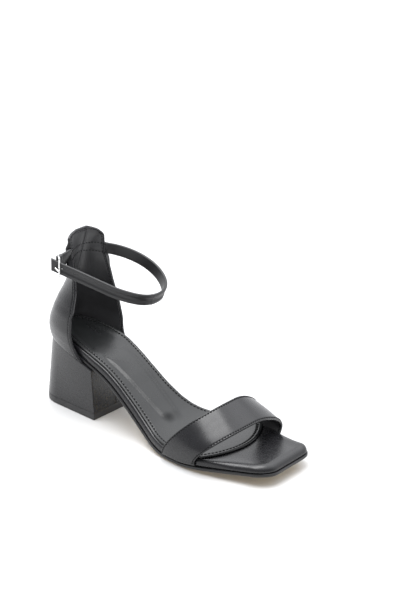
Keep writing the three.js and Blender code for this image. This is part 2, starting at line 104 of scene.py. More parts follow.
def ramp(value, start, end):
    """0 up to start, 1 from end on, smooth between."""
    u = np.clip((value - start) / (end - start), 0, 1)
    return u * u * (3 - 2 * u)


def sole_lift(x):
    share = (x - SOLE_REAR) / SOLE_LENGTH
    return HEEL_HEIGHT * read_arch(share) + TOE_SPRING * read_toe(share)


def breadth(x, side):
    share = (x - SOLE_REAR) / SOLE_LENGTH
    return BALL_WIDTH * np.where(side < 0, read_breadth[-1](share), read_breadth[1](share))


def edge_curl(x, y):
    across = np.abs(y) / breadth(x, np.where(y < 0, -1, 1))
    return EDGE_RISE * np.clip((across - 0.5) / 0.5, 0, 1) ** 2


def sole_point(x, y, height):
    slope = (sole_lift(x + 1.5) - sole_lift(x - 1.5)) / 3
    length = np.hypot(slope, 1)
    lift = sole_lift(x) + height / length + edge_curl(x, y)
    return np.stack([x - slope * height / length, y, lift], -1)


def heel_fullness(x, inset):
    reach = COUNTER_REAR + COUNTER_REACH
    behind = np.clip((reach - x) / (reach - (SOLE_REAR + inset)), 0, 1)
    return (1 - (0.9999 * behind) ** HEEL_ROUND) ** (1 / HEEL_ROUND)


def side_value(side, values):
    return np.where(side < 0, values[-1], values[1])


def half_breadth(x, side, inset):
    corner = np.maximum(side_value(side, TOE_CORNER) - inset, 1)
    into = np.maximum(0, x - (SOLE_FRONT - inset - corner))
    loss = corner - np.sqrt(np.maximum(0, corner**2 - into**2))
    return (breadth(x, side) - inset) * heel_fullness(x, inset) - loss


def station(u, back, front):
    eased = (1 - np.cos(np.pi * u)) / 2
    return back + (front - back) * (0.25 * u + 0.75 * eased)


def block_faces(nu, nt, nk):
    """Corners on the outside of a block of nu x nt x nk cells, its quads, and each quad's side."""
    grid = np.zeros((nu + 1, nt + 1, nk + 1), int)
    outside = np.ones(grid.shape, bool)
    outside[1:-1, 1:-1, 1:-1] = False
    corners = np.argwhere(outside)
    grid[outside] = np.arange(len(corners))
    quads, sides = [], []
    layers = [
        (grid[:, :, -1], "top"), (grid[:, :, 0].T, "bottom"), (grid[-1, :, :], "edge"),
        (grid[0, :, :].T, "edge"), (grid[:, -1, :].T, "edge"), (grid[:, 0, :], "edge"),
    ]
    for layer, side in layers:
        ring = [layer[:-1, :-1], layer[1:, :-1], layer[1:, 1:], layer[:-1, 1:]]
        quads.append(np.stack(ring, -1).reshape(-1, 4))
        sides += [side] * len(quads[-1])
    return corners, np.concatenate(quads), np.array(sides)


def add_object(name, data):
    made = bpy.data.objects.new(name, data)
    bpy.context.scene.collection.objects.link(made)
    return made


def mesh_from(name, points, faces):
    """Smooth-shaded mesh object from points in millimetres; its faces are turned outwards."""
    a, b, c, d = (points[faces[:, i]] for i in range(4))
    volume = np.einsum("ij,ij->", a, np.cross(b, c)) + np.einsum("ij,ij->", a, np.cross(c, d))
    if volume < 0:
        faces = faces[:, ::-1]
    mesh = bpy.data.meshes.new(name)
    mesh.vertices.add(len(points))
    mesh.vertices.foreach_set("co", (points * 0.001).astype(np.float32).ravel())
    mesh.loops.add(faces.size)
    mesh.loops.foreach_set("vertex_index", faces.astype(np.int32).ravel())
    mesh.polygons.add(len(faces))
    mesh.polygons.foreach_set("loop_start", np.arange(0, faces.size, 4, dtype=np.int32))
    mesh.polygons.foreach_set("use_smooth", np.ones(len(faces), bool))
    mesh.update(calc_edges=True)
    mesh.validate()
    return add_object(name, mesh)


def sole_layer(name, columns, rows, edge, relief=None, front=None, toe_edge=None):
    """One layer of the sole; edge lists inset and height of its side from its underside up."""
    corners, faces, sides = block_faces(columns, rows, len(edge) - 1)
    u, t = corners[:, 0] / columns, corners[:, 1] / rows
    inset, height = np.array(edge)[corners[:, 2]].T
    if toe_edge is not None:
        toe = ramp(SOLE_REAR + SOLE_LENGTH * u, *TOE_EDGE_SPAN)[:, None]
        at_toe = np.array(toe_edge)[corners[:, 2]]
        inset, height = (np.array(edge)[corners[:, 2]] * (1 - toe) + at_toe * toe).T
    across = 2 * t - 1
    side = np.where(across < 0, -1, 1)
    end = SOLE_FRONT - inset if front is None else front(across, inset)
    x = station(u, SOLE_REAR + inset, end)
    y = across * half_breadth(x, side, inset)
    if relief is not None:
        inner = corners[:, 2] == len(edge) - 1
        room = np.abs(half_breadth(x, side, 0)) - np.abs(y)
        height = height + inner * relief(x, y, room)
    return mesh_from(name, sole_point(x, y, height), faces), sides


def new_material(name, rough, **sockets):
    """Material with its tree, its principled shader and the place on the piece."""
    material = bpy.data.materials.new(name)
    material.use_nodes = True
    tree = material.node_tree
    shader = tree.nodes["Principled BSDF"]
    shader.inputs["Roughness"].default_value = rough
    for socket, value in sockets.items():
        shader.inputs[socket.replace("_", " ")].default_value = value
    return material, tree, shader, tree.nodes.new("ShaderNodeTexCoord").outputs["Object"]


def feed(tree, node, values):
    """Sets or links inputs of a node by name or number."""
    for key, value in values.items():
        if isinstance(value, bpy.types.NodeSocket):
            tree.links.new(value, node.inputs[key])
        else:
            node.inputs[key].default_value = value


def put(tree, kind, values=None, **settings):
    """New node with its settings; values go to its inputs."""
    made = tree.nodes.new(kind)
    for key, value in settings.items():
        setattr(made, key, value)
    feed(tree, made, values or {})
    return made


def ramp_colours(tree, factor, stops):
    """Colour ramp between two (place, colour) stops."""
    made = put(tree, "ShaderNodeValToRGB", {"Fac": factor})
    for element, (place, colour) in zip(made.color_ramp.elements, stops):
        element.position = place
        element.color = (*colour, 1)
    return made.outputs["Color"]


def noise(tree, place, scale, detail):
    values = {"Vector": place, "Scale": scale, "Detail": detail}
    return put(tree, "ShaderNodeTexNoise", values).outputs["Fac"]


def spread(tree, factor, low, high, start=0.0, end=1.0, **settings):
    """Maps a factor between start and end to the range low to high."""
    values = {"Value": factor, "From Min": start, "From Max": end, "To Min": low, "To Max": high}
    return put(tree, "ShaderNodeMapRange", values, **settings).outputs["Result"]


def bumped(tree, factor, height, strength, normal=None):
    """Bump of a factor from 0 to 1, which is as high as the height in millimetres at 1."""
    values = {"Height": spread(tree, factor, 0, height), "Strength": strength, "Distance": 0.001}
    if normal is not None:
        values["Normal"] = normal
    return put(tree, "ShaderNodeBump", values).outputs["Normal"]


def two_finishes(piece, first):
    """Faces marked first take the piece's first material, the rest its second."""
    piece.data.polygons.foreach_set("material_index", np.where(first, 0, 1).astype(np.int32))


def dress(piece, node, slot, *materials, sharp=None):
    """Gives a finished piece its materials and stands it in for its CAD node."""
    for material in materials:
        piece.data.materials.append(material)
    if sharp is not None:
        piece.data.set_sharp_from_angle(angle=math.radians(sharp))
    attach(piece, "root")
    if node:
        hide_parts(node)


def sheet_material():
    material, tree, shader, place = new_material("tan_sole_sheet", 0.55, Specular_IOR_Level=0.4)
    cloudy = noise(tree, place, 45, 4)
    grit = noise(tree, place, 2600, 2)
    feed(tree, shader, {
        "Base Color": ramp_colours(tree, cloudy, [(0.3, (0.44, 0.29, 0.07)), (0.7, (0.5, 0.34, 0.1))]),
        "Roughness": spread(tree, cloudy, 0.48, 0.62),
        "Normal": bumped(tree, grit, 0.12, 0.6),
    })
    return material


def edge_paint_material():
    material, tree, shader, place = new_material("edge_paint", 0.34)
    wavy = noise(tree, place, 420, 3)
    feed(tree, shader, {
        "Base Color": (0.012, 0.012, 0.013, 1),
        "Roughness": spread(tree, wavy, 0.28, 0.44),
        "Normal": bumped(tree, wavy, 0.1, 0.5),
    })
    return material


edge_paint = edge_paint_material()
outsole, outsole_sides = sole_layer("outsole_sheet", 260, 40, OUTSOLE_EDGE)
two_finishes(outsole, outsole_sides == "bottom")
dress(outsole, "outsole", "sole_sheet", sheet_material(), edge_paint, sharp=50)


# Insole board: a moulded fibre board that carries the arch, wrapped in the upper's black leather.
# The leather turns over the rounded rim, which stands round the sock as a narrow lip.
BOARD_EDGE = [
    (2.2, 2.8), (1.6, 2.95), (0.95, 3.4), (0.62, 4.1), (0.55, 5.3), (0.6, 6.5), (0.8, 7.3),
    (1.15, 8.0), (1.7, 8.6), (2.4, 8.9), (3.2, 9.0),
]
BOARD_TOE_EDGE = [  # fuller at the toe, where no sock covers the lip
    (2.2, 2.8), (1.6, 2.95), (0.95, 3.2), (0.62, 3.6), (0.6, 4.3), (0.85, 5.3), (1.4, 6.4),
    (2.3, 7.5), (3.5, 8.35), (5.0, 8.85), (7.0, 9.0),
]
GRAIN_SIZE = 0.8


def clouded(tree, factor, base, low, high):
    """Colour between two shares of the base colour."""
    shades = [tuple(share * value for value in base) for share in (low, high)]
    return ramp_colours(tree, factor, zip((0.35, 0.65), shades))


def leather_material(name, base, rough, grain_depth):
    """Finished leather: a fine pebbled grain with creases between the pebbles, and a satin coat."""
    material, tree, shader, place = new_material(name, rough)
    pebbles = put(tree, "ShaderNodeTexVoronoi", {"Vector": place, "Scale": 1000 / GRAIN_SIZE},
                  feature="DISTANCE_TO_EDGE")
    crease = spread(tree, pebbles.outputs["Distance"], 0, 1, 0.0, 0.35)
    soft = noise(tree, place, 220, 3)
    feed(tree, shader, {
        "Base Color": clouded(tree, noise(tree, place, 28, 3), base, 0.86, 1.14),
        "Roughness": spread(tree, soft, rough - 0.03, rough + 0.03, 0.3, 0.7),
        "Normal": bumped(tree, soft, 0.03, 0.12, bumped(tree, crease, 0.02, grain_depth)),
    })
    return material


upper_leather = leather_material("black_leather", (0.01, 0.01, 0.0115), 0.27, 0.08)
board, _ = sole_layer("wrapped_board", 260, 40, BOARD_EDGE, toe_edge=BOARD_TOE_EDGE)
dress(board, "insole_board", "leather", upper_leather, sharp=60)


# Stitches: black bonded thread, each stitch a short bead lying in the line that the machine pulled in.
# One node tree lays them along a seam; a seam is a run of points with the way its face looks.
def stitch_tree():
    tree = bpy.data.node_groups.new("thread_stitches", "GeometryNodeTree")
    tree.interface.new_socket("Seam", in_out="INPUT", socket_type="NodeSocketGeometry")
    for name in ("Pitch", "Length", "Thickness"):
        tree.interface.new_socket(name, in_out="INPUT", socket_type="NodeSocketFloat")
    tree.interface.new_socket("Thread", in_out="INPUT", socket_type="NodeSocketMaterial")
    tree.interface.new_socket("Stitches", in_out="OUTPUT", socket_type="NodeSocketGeometry")
    given = tree.nodes.new("NodeGroupInput").outputs
    curve = put(tree, "GeometryNodeMeshToCurve", {"Mesh": given["Seam"]})
    spaced = put(tree, "GeometryNodeResampleCurve",
                 {"Curve": curve.outputs["Curve"], "Length": given["Pitch"]}, mode="LENGTH")
    tangent = put(tree, "GeometryNodeInputTangent")
    outward = put(tree, "GeometryNodeInputNamedAttribute", {"Name": "face_out"},
                  data_type="FLOAT_VECTOR")
    turn = put(tree, "FunctionNodeAxesToRotation", {
        "Primary Axis": tangent.outputs["Tangent"], "Secondary Axis": outward.outputs["Attribute"],
    }, primary_axis="X", secondary_axis="Z")
    bead = put(tree, "GeometryNodeMeshUVSphere", {"Segments": 8, "Rings": 6, "Radius": 0.5})
    size = put(tree, "ShaderNodeCombineXYZ",
               {"X": given["Length"], "Y": given["Thickness"], "Z": given["Thickness"]})
    rows = put(tree, "GeometryNodeInstanceOnPoints", {
        "Points": spaced.outputs["Curve"], "Instance": bead.outputs["Mesh"],
        "Rotation": turn.outputs["Rotation"], "Scale": size.outputs["Vector"],
    })
    real = put(tree, "GeometryNodeRealizeInstances", {"Geometry": rows.outputs["Instances"]})
    round_shade = put(tree, "GeometryNodeSetShadeSmooth", {"Geometry": real.outputs["Geometry"]})
    thread = put(tree, "GeometryNodeSetMaterial",
                 {"Geometry": round_shade.outputs["Geometry"], "Material": given["Thread"]})
    feed(tree, tree.nodes.new("NodeGroupOutput"), {"Stitches": thread.outputs["Geometry"]})
    return tree


def thread_material():
    material, tree, shader, place = new_material("black_thread", 0.6, Specular_IOR_Level=0.2)
    twist = noise(tree, place, 5200, 1)
    feed(tree, shader, {
        "Base Color": (0.004, 0.004, 0.0045, 1), "Normal": bumped(tree, twist, 0.1, 0.6),
    })
    return material


stitches = stitch_tree()
black_thread = thread_material()


def solid_copy(obj):
    """Plain mesh object of what an object's modifiers make; the object itself goes."""
    graph = bpy.context.evaluated_depsgraph_get()
    mesh = bpy.data.meshes.new_from_object(obj.evaluated_get(graph), depsgraph=graph)
    name = obj.name
    bpy.data.objects.remove(obj)
    return add_object(name, mesh)


def sew(name, seams, slot, pitch, length, thickness):
    """Stitches along seams, each given as (points, outward directions, closed)."""
    points, outward, edges = [], [], []
    for line, facing, closed in seams:
        start = len(points)
        points += [0.001 * p for p in line]
        outward += list(facing)
        edges += [(start + i, start + i + 1) for i in range(len(line) - 1)]
        if closed:
            edges.append((start + len(line) - 1, start))
    mesh = bpy.data.meshes.new(name)
    mesh.from_pydata(points, edges, [])
    layer = mesh.attributes.new("face_out", "FLOAT_VECTOR", "POINT")
    layer.data.foreach_set("vector", np.asarray(outward, np.float32).ravel())
    seam = add_object(name, mesh)
    modifier = seam.modifiers.new("stitches", "NODES")
    modifier.node_group = stitches
    values = {"Pitch": pitch * 0.001, "Length": length * 0.001, "Thickness": thickness * 0.001,
              "Thread": black_thread}
    for item in stitches.interface.items_tree:
        if item.name in values:
            modifier[item.identifier] = values[item.name]
    dress(solid_copy(seam), None, slot)


# Sock: thin dark grey lining leather over foam, cemented on the board and sewn inside its edge.
# Its middle is padded up from the waist to the ball, and it stops short of the toe in an arc.
SOCK_FRONT = SOLE_REAR + 0.832 * SOLE_LENGTH
SOCK_INSET = 1.8
SOCK_BOW = 13.0
SOCK_SEAM = 4.7
SOCK_EDGE = [
    (3.2, 9.25), (2.2, 9.3), (1.9, 9.6), (1.8, 10.0), (1.95, 10.45), (2.3, 10.8), (2.9, 10.98),
    (3.5, 11.02), (3.95, 10.95), (4.3, 10.75), (4.7, 10.5), (5.1, 10.75), (5.45, 10.95), (6.0, 11.02),
    (6.8, 11.0),
]
SOCK_TOP = 11.0
PAD_PLACES = [36, 52, 70, 88, 110]
PAD_LATERAL = smooth(PAD_PLACES, [-15.2, -14.4, -13.2, -11.8, -10.6])
PAD_MEDIAL = smooth(PAD_PLACES, [8.6, 7.2, 5.2, 3.0, 1.5])
PAD_HEIGHT = 1.5
HOLLOW = (92, -8.1)
HOLLOW_DEPTH = 0.8
SEAT_DEPTH = 1.6


def sock_front(across, inset):
    return SOCK_FRONT - (inset - SOCK_INSET) - SOCK_BOW * across**2


def swell(distance, width):
    """1 where the distance is 0, fading to nothing over about twice the width."""
    return np.exp(-((distance / width) ** 2))


def sock_relief(x, y, room):
    """Pad along the waist, with a hollow at its front end and another under the heel."""
    outer, inner = PAD_LATERAL(x), PAD_MEDIAL(x)
    pad = PAD_HEIGHT * ramp(x, 22, 46) * (1 - ramp(x, 86, 98))
    pad = pad * ramp(y, outer - 2 - 0.4 * ramp(x, 60, 90), outer + 2)
    pad = pad * (1 - ramp(y, inner - 4, inner + 4))
    hollow = HOLLOW_DEPTH * swell(x - HOLLOW[0], 4) * swell(y - HOLLOW[1], 3.2)
    seat = SEAT_DEPTH * swell(x - 8, 17) * swell(y, 15)
    return ramp(room, 6.4, 12) * (pad - hollow - seat)


def lining_material(name, base, rough):
    material, tree, shader, place = new_material(name, rough)
    cloudy = noise(tree, place, 36, 4)
    pores = noise(tree, place, 2400, 2)
    soft = noise(tree, place, 130, 2)
    feed(tree, shader, {
        "Base Color": clouded(tree, cloudy, base, 0.88, 1.1),
        "Roughness": spread(tree, cloudy, rough - 0.04, rough + 0.05, 0.3, 0.7),
        "Normal": bumped(tree, soft, 0.2, 0.25, bumped(tree, pores, 0.05, 0.6)),
    })
    return material


def paint_hollow_shade(material):
    """Painted shade: takes the shine off the hollow at the pad's front end so that it reads dark;
    measures in metres.
    """
    tree = material.node_tree
    place = put(tree, "ShaderNodeTexCoord").outputs["Object"]
    values = {0: place, 1: (0.0932, -0.0085, 0.0125)}
    away = put(tree, "ShaderNodeVectorMath", values, operation="DISTANCE").outputs["Value"]
    shine = spread(tree, away, 0, 0.43, 0.0018, 0.0084)
    feed(tree, tree.nodes["Principled BSDF"], {"Specular IOR Level": shine})


sock_leather = lining_material("grey_sock_leather", (0.012, 0.0128, 0.0132), 0.28)
# Painted shade: the hollow at the pad's front end is darkened by taking the shine off it.
paint_hollow_shade(sock_leather)
sock, _ = sole_layer("sewn_sock", 240, 72, SOCK_EDGE, sock_relief, sock_front)
dress(sock, "sock", "lining", sock_leather, sharp=70)


def unit(vectors):
    return vectors / np.maximum(np.linalg.norm(vectors, axis=-1, keepdims=True), 1e-9)


def sock_seam():
    """Closed line inside the sock's edge: up the inner side, across the front, down the outer side."""
    x = station(np.linspace(0, 1, 160), SOLE_REAR + SOCK_SEAM, sock_front(1, SOCK_SEAM))
    medial = np.stack([x, half_breadth(x, 1, SOCK_SEAM)], -1)
    lateral = np.stack([x, -half_breadth(x, -1, SOCK_SEAM)], -1)[::-1]
    across = np.linspace(1, -1, 60)[1:-1]
    front = sock_front(across, SOCK_SEAM)
    half = half_breadth(front, np.where(across < 0, -1, 1), SOCK_SEAM)
    plan = np.concatenate([medial, np.stack([front, across * half], -1), lateral])
    line = sole_point(plan[:, 0], plan[:, 1], SOCK_TOP - 0.14)
    facing = sole_point(plan[:, 0], plan[:, 1], SOCK_TOP + 1) - line
    return line, unit(facing), True


sew("sock_stitches", [sock_seam()], "lining", pitch=3.0, length=2.1, thickness=1.05)


# Heel block: moulded core with a D-shaped plan and a flat breast, covered in the upper's leather.
# The cover is drawn round the sides and its ends meet in an upright seam down the breast.
HEEL_REAR = -32.7
BREAST_FOOT = 32.7
BREAST_LEAN = 1.0
TREAD_THICKNESS = 6.0
COUNTER_OFFSET = 2.4
BASE_BACK = {-1: 21.25, 1: 19.5}  # half width of the block's foot at its back
BASE_FRONT = {-1: 25.5, 1: 20.5}  # and at its breast


def heel_base(u, t, inset):
    x = HEEL_REAR + inset + (BREAST_FOOT - HEEL_REAR - 2 * inset) * u
    side = np.where(t < 0.5, -1, 1)
    back, front = side_value(side, BASE_BACK), side_value(side, BASE_FRONT)
    behind = np.clip(1 - (x - HEEL_REAR - inset) / BASE_BACK[-1], 0, 1)
    round_back = (1 - (0.9998 * behind) ** 2.2) ** (1 / 2.2)
    return np.stack([x, (2 * t - 1) * (back + (front - back) * u - inset) * round_back], -1)


def heel_top(u, t):
    x = COUNTER_REAR + (BREAST_FOOT - BREAST_LEAN - COUNTER_REAR) * u
    side = np.where(t < 0.5, -1, 1)
    passed = np.where(side < 0, 0, np.clip((u - 0.7) / 0.3, 0, 1))
    wide = breadth(SOLE_REAR, side) + COUNTER_OFFSET
    half = wide + (breadth(x, side) - wide) * passed
    return np.stack([x, (2 * t - 1) * half * heel_fullness(x, -COUNTER_OFFSET)], -1)


def heel_spacing(u):
    return 1 - np.cos(np.pi / 2 * u) * (1 - 0.12 * u)


def soften(piece, width):
    """Rounds the sharp edges of a piece."""
    bevel = piece.modifiers.new("rounded_edges", "BEVEL")
    bevel.width = width * 0.001
    bevel.segments = 3
    bevel.limit_method = "ANGLE"
    bevel.angle_limit = math.radians(32)
    bevel.miter_outer = "MITER_ARC"
    return solid_copy(piece)


def heel_block():
    near_seam = 0.5 + np.array([-19, -12, -6, 6, 12, 19]) / 1000
    plan_t = np.sort(np.concatenate([np.linspace(0, 1, 41), near_seam]))
    columns, rows, levels = 90, len(plan_t) - 1, 40
    corners, faces, _ = block_faces(columns, rows, levels)
    u = heel_spacing(corners[:, 0] / columns)
    t = plan_t[corners[:, 1]]
    k = corners[:, 2] / levels
    plan = heel_base(u, t, 0) * (1 - k)[:, None] + heel_top(u, t) * k[:, None]
    seat = sole_point(plan[:, 0], plan[:, 1], 0 * k)[:, 2] - GAP
    foot = TREAD_THICKNESS + GAP
    seam = (corners[:, 0] == columns) * (k > 0.001) * (k < 0.999)
    pulled = 0.5 * swell(plan[:, 1], 0.28) - 0.12 * swell(np.abs(plan[:, 1]) - 0.95, 0.5)
    x = plan[:, 0] - seam * pulled
    return mesh_from("covered_heel", np.stack([x, plan[:, 1], foot + (seat - foot) * k], -1), faces)


heel = soften(heel_block(), 0.55)
dress(heel, "heel_block", "leather", upper_leather, sharp=60)


# Heel tread: a moulded black rubber top piece, nailed and cemented under the heel block.
# Its side is a little rough from trimming, and its foot is slightly chamfered.
def rubber_material():
    material, tree, shader, place = new_material("black_tread_rubber", 0.45)
    stretched = put(tree, "ShaderNodeMapping", {"Vector": place, "Scale": (1, 1, 4)})
    trimmed = noise(tree, stretched.outputs["Vector"], 700, 3)
    shades = [(0.35, (0.02, 0.02, 0.021)), (0.65, (0.03, 0.03, 0.031))]
    feed(tree, shader, {
        "Base Color": ramp_colours(tree, noise(tree, place, 60, 3), shades),
        "Roughness": spread(tree, trimmed, 0.38, 0.52),
        "Normal": bumped(tree, trimmed, 0.2, 0.6),
    })
    return material


def heel_tread():
    columns, rows, levels = 90, 40, 4
    corners, faces, _ = block_faces(columns, rows, levels)
    inset = np.array([0.5, 0.1, 0, 0, 0.5])[corners[:, 2]]
    height = np.array([0, 0.4, 0.8, 5.3, 6.0])[corners[:, 2]]
    plan = heel_base(heel_spacing(corners[:, 0] / columns), corners[:, 1] / rows, inset)
    return mesh_from("tread_piece", np.column_stack([plan, height]), faces)


tread = soften(heel_tread(), 0.35)
dress(tread, "heel_tread", "tread_rubber", rubber_material(), sharp=60)


# Counter: two layers of leather over a stiffener, lasted round the heel seat.
# Its top line is folded over and sewn, and its back rises into a round-topped tab.
TAB_TOP = 149.4
COUNTER_RISE = 93.0
TUNNEL_BULGE = 2.9
COUNTER_ROWS = np.array([  # share, back, edge lateral/medial, half width lateral/medial, round, side
    (0, 0, 0.88, 0.88, 1, 1, 2.35, 2.35), (0.05, -0.011, 0.775, 0.84, 1.02, 1.02, 2.35, 2.35),
    (0.1, -0.012, 0.73, 0.79, 1.06, 1.06, 2.3, 2.3), (0.2, 0.012, 0.72, 0.745, 1.12, 1.12, 2.25, 2.25),
    (0.3, 0.052, 0.724, 0.7, 1.11, 1.11, 2.2, 2.2), (0.4, 0.092, 0.75, 0.662, 1.045, 1.045, 2.05, 2.1),
    (0.5, 0.141, 0.748, 0.639, 0.955, 0.955, 1.75, 2), (0.6, 0.185, 0.71, 0.621, 0.877, 0.877, 1.4, 2),
    (0.7, 0.22, 0.636, 0.602, 0.812, 0.775, 1.15, 2), (0.8, 0.253, 0.585, 0.583, 0.78, 0.7, 1, 2),
    (0.88, 0.277, 0.575, 0.56, 0.79, 0.718, 1, 2), (0.94, 0.296, 0.56, 0.541, 0.825, 0.536, 1, 2),
    (0.98, 0.307, 0.535, 0.523, 0.66, 0.25, 1, 2), (1, 0.313, 0.522, 0.522, 0.41, 0.04, 1, 2),
])
COUNTER_CELLS = (84, 132)  # from the back to a front edge, and from the seat to the top
COUNTER_READ = [smooth(COUNTER_ROWS[:, 0], COUNTER_ROWS[:, column]) for column in range(1, 8)]


def counter_surface(around, share):
    """Outer surface: around -1 outer front edge, 0 back, 1 inner front edge; share 0 seat to 1 top."""
    read = [curve(share) for curve in COUNTER_READ]
    back, edge_out, edge_in, half_out, half_in, round_plan, squareness = read
    medial = around > 0
    rear = COUNTER_REAR + COUNTER_RISE * back
    edge = COUNTER_REAR + COUNTER_REACH * np.where(medial, edge_in, edge_out)
    side = np.where(medial, 1, -1)
    seat_half = breadth(SOLE_REAR, side) + COUNTER_OFFSET
    sine = np.clip(np.sin(np.pi / 2 * np.abs(around)), 0, 1)
    bulge = np.maximum(0, 1 - sine**squareness) ** (1 / round_plan)
    x = edge - (edge - rear) * bulge
    y = np.sign(around) * seat_half * np.where(medial, half_in, half_out) * sine
    seat = sole_lift(x) + edge_curl(x, y)
    return np.stack([x, y, seat + (TAB_TOP - seat) * share], -1)


def surface_normal(surface, around, share, step):
    """Outward direction of a surface, from its slopes over a small step each way."""
    along = surface(around + step, share) - surface(around - step, share)
    up = surface(around, share + step) - surface(around, share - step)
    return unit(np.cross(up, along))


def counter_normal(around, share):
    around, share = np.clip(around, -0.996, 0.996), np.clip(share, 0.004, 0.996)
    return surface_normal(counter_surface, around, share, 0.004)


def tunnel_step(share):
    return TUNNEL_BULGE * ramp(share, 0.61, 0.69) * (1 - ramp(share, 0.86, 0.93))


NEAR_EDGE = np.array([0, 0.05, 0.16, 0.34, 0.6, 0.95, 1.35, 1.8, 2.15, 2.5, 2.85, 3.3])


def edged(total, cells):
    """Distances from 0 to each total: close together near both ends, even between them."""
    total = np.asarray(total, float)[:, None]
    near = NEAR_EDGE[None, :] * np.minimum(1, total / 14)
    middle = np.linspace(0, 1, cells - 2 * len(NEAR_EDGE) + 3)[None, 1:-1]
    span = total - 2 * near[:, -1:]
    return np.concatenate([near, near[:, -1:] + span * middle, total - near[:, ::-1]], 1)


def run_length(line):
    """Distance along a line from its start to each of its points."""
    return np.concatenate([[0], np.cumsum(np.linalg.norm(np.diff(line, axis=0), axis=1))])


def counter_grid(margin):
    """Places on the counter up to a margin inside its rim: around and share of each."""
    half_cells, level_cells = COUNTER_CELLS
    rise = TAB_TOP - HEEL_HEIGHT
    shares = edged([rise - margin], level_cells)[0] / rise
    fine = np.linspace(0, 1, 500)
    arounds = []
    for share in shares:
        row = []
        for side in (-1, 1):
            run = run_length(counter_surface(side * fine, np.full(500, share)))
            total = max(run[-1] - margin, 1.5)
            from_rim = np.concatenate([NEAR_EDGE * min(1, total / 9), [0]])
            even = np.linspace(from_rim[-2], total, half_cells - len(NEAR_EDGE) + 2)[1:]
            distance = total - np.concatenate([from_rim[:-1], even])
            row.append(side * np.interp(distance, run, fine))
        arounds.append(np.concatenate([row[0], row[1][::-1][1:]]))
    return np.array(arounds), shares


def rim_distance(points, rim):
    best = np.full(len(points), 1e9)
    for a, b in zip(rim, rim[1:]):
        edge = b - a
        along = np.clip((points - a) @ edge / max(edge @ edge, 1e-9), 0, 1)
        best = np.minimum(best, np.linalg.norm(points - a - along[:, None] * edge, axis=1))
    return best


def counter_rim():
    share = np.linspace(0, 1, 160)
    lateral = counter_surface(np.full(160, -1.0), share)
    top = counter_surface(np.linspace(-1, 1, 40), np.full(40, 1.0))
    medial = counter_surface(np.full(160, 1.0), share)[::-1]
    return np.concatenate([lateral, top, medial])


def rounded(distance, radius, least, fullness=2.0):
    """Share of its thickness that a leather edge keeps at a distance from the edge."""
    inward = np.clip(distance / radius, 0, 1)
    return np.maximum((1 - (1 - inward) ** fullness) ** (1 / fullness), least)


def counter_shell(name, arounds, shares, layers, offsets):
    rows, columns = arounds.shape[0] - 1, arounds.shape[1] - 1
    corners, faces, _ = block_faces(columns, rows, layers)
    around = arounds[corners[:, 1], corners[:, 0]]
    share = shares[corners[:, 1]]
    surface = counter_surface(around, share)
    distance = rim_distance(surface, counter_rim())
    out = offsets(corners[:, 2] / layers, distance, share, around)
    return mesh_from(name, surface + counter_normal(around, share) * out[:, None], faces)


def counter_layer(depth, distance, share, around):
    low = -1.45 - 0.65 * (1 - ramp(distance, 1.35, 1.85))
    high = tunnel_step(share) - 0.5 * swell(distance - 2.3, 0.4) + 0.35 * swell(distance - 1.1, 0.7)
    foot = share * COUNTER_RISE
    edge = rounded(distance, 0.8, 0.5, 2.6) * rounded(foot + 0.02, 0.8, 0.35)
    middle = (high + low) / 2
    return middle + (depth - 0.5) * (high - low) * edge


counter = counter_shell("heel_counter", *counter_grid(0), 3, counter_layer)
dress(counter, "counter", "leather", upper_leather, sharp=75)


# Counter lining: thin dark leather glued inside the counter, trimmed just below its folded edge.
# A seam runs up the back of the tab, and the ankle strap's two rows of stitches come through it.
STRAP_WIDTH = 10.0
ANKLE_HEIGHT = 132.0
TILT = math.radians(22.3)
STRAP_ROWS = 3.2  # from the strap's middle line to each row of stitches
LINING_MARGIN = 1.55
TAB_EDGE = COUNTER_REAR + 0.575 * COUNTER_REACH


def strap_place(x, y):
    """Middle line of the ankle strap over a place of the plan."""
    high = ANKLE_HEIGHT - math.tan(TILT) * (x - TAB_EDGE) - math.cos(TILT) * STRAP_WIDTH / 2
    return np.stack([x - math.sin(TILT) * STRAP_WIDTH / 2, y + 0 * x, high], -1)


def in_tunnel(around, share):
    return counter_surface(around, share) + counter_normal(around, share) * 0.4


def strap_share(around):
    """Share of the counter's rise at which the ankle strap's middle line runs inside the tab."""
    share = np.full(np.shape(around), 0.77)
    for _ in range(12):
        place = in_tunnel(around, share)
        wanted = strap_place(place[..., 0], place[..., 1])[..., 2] + 4.6 * np.clip(-around, 0, 1) ** 2
        share = share + (wanted - place[..., 2]) / COUNTER_RISE
    return share


def lining_layer(depth, distance, share, around):
    back = np.abs(around) * 27
    pulled = 0.3 * swell(back, 0.45) - 0.16 * swell(back - 1.5, 0.8)
    above_strap = (share - strap_share(around)) * COUNTER_RISE
    rows = swell(above_strap + STRAP_ROWS, 0.7) + swell(above_strap - STRAP_ROWS, 0.7)
    face = -2.2 + 0.2 * swell(distance - 2.55, 0.4) + 0.2 * rows + pulled
    edge = rounded(distance - LINING_MARGIN, 0.35, 0.15)
    return -1.5 + (1 - depth) * (face + 1.5) * edge


tab_lining = lining_material("grey_tab_lining", (0.034, 0.034, 0.036), 0.36)
lining = counter_shell("counter_lining", *counter_grid(LINING_MARGIN), 2, lining_layer)
dress(lining, None, "lining", tab_lining, sharp=75)


def rim_seam(depth, offset):
    """Line of stitches inside the counter's rim, on its outer or inner face."""
    share = np.linspace(0.05, 1 - depth / COUNTER_RISE, 150)
    lines = []
    for side in (-1, 1):
        fine = np.linspace(0, 1, 400)
        line = []
        for value in share:
            run = run_length(counter_surface(side * fine, np.full(400, value)))
            line.append(side * np.interp(max(run[-1] - depth, 0.5), run, fine))
        lines.append(np.array(line))
    over_top = np.linspace(lines[0][-1], lines[1][-1], 12)[1:-1]
    around = np.concatenate([lines[0], over_top, lines[1][::-1]])
    height = np.concatenate([share, np.full(10, share[-1]), share[::-1]])
    return face_line(around, height, offset)


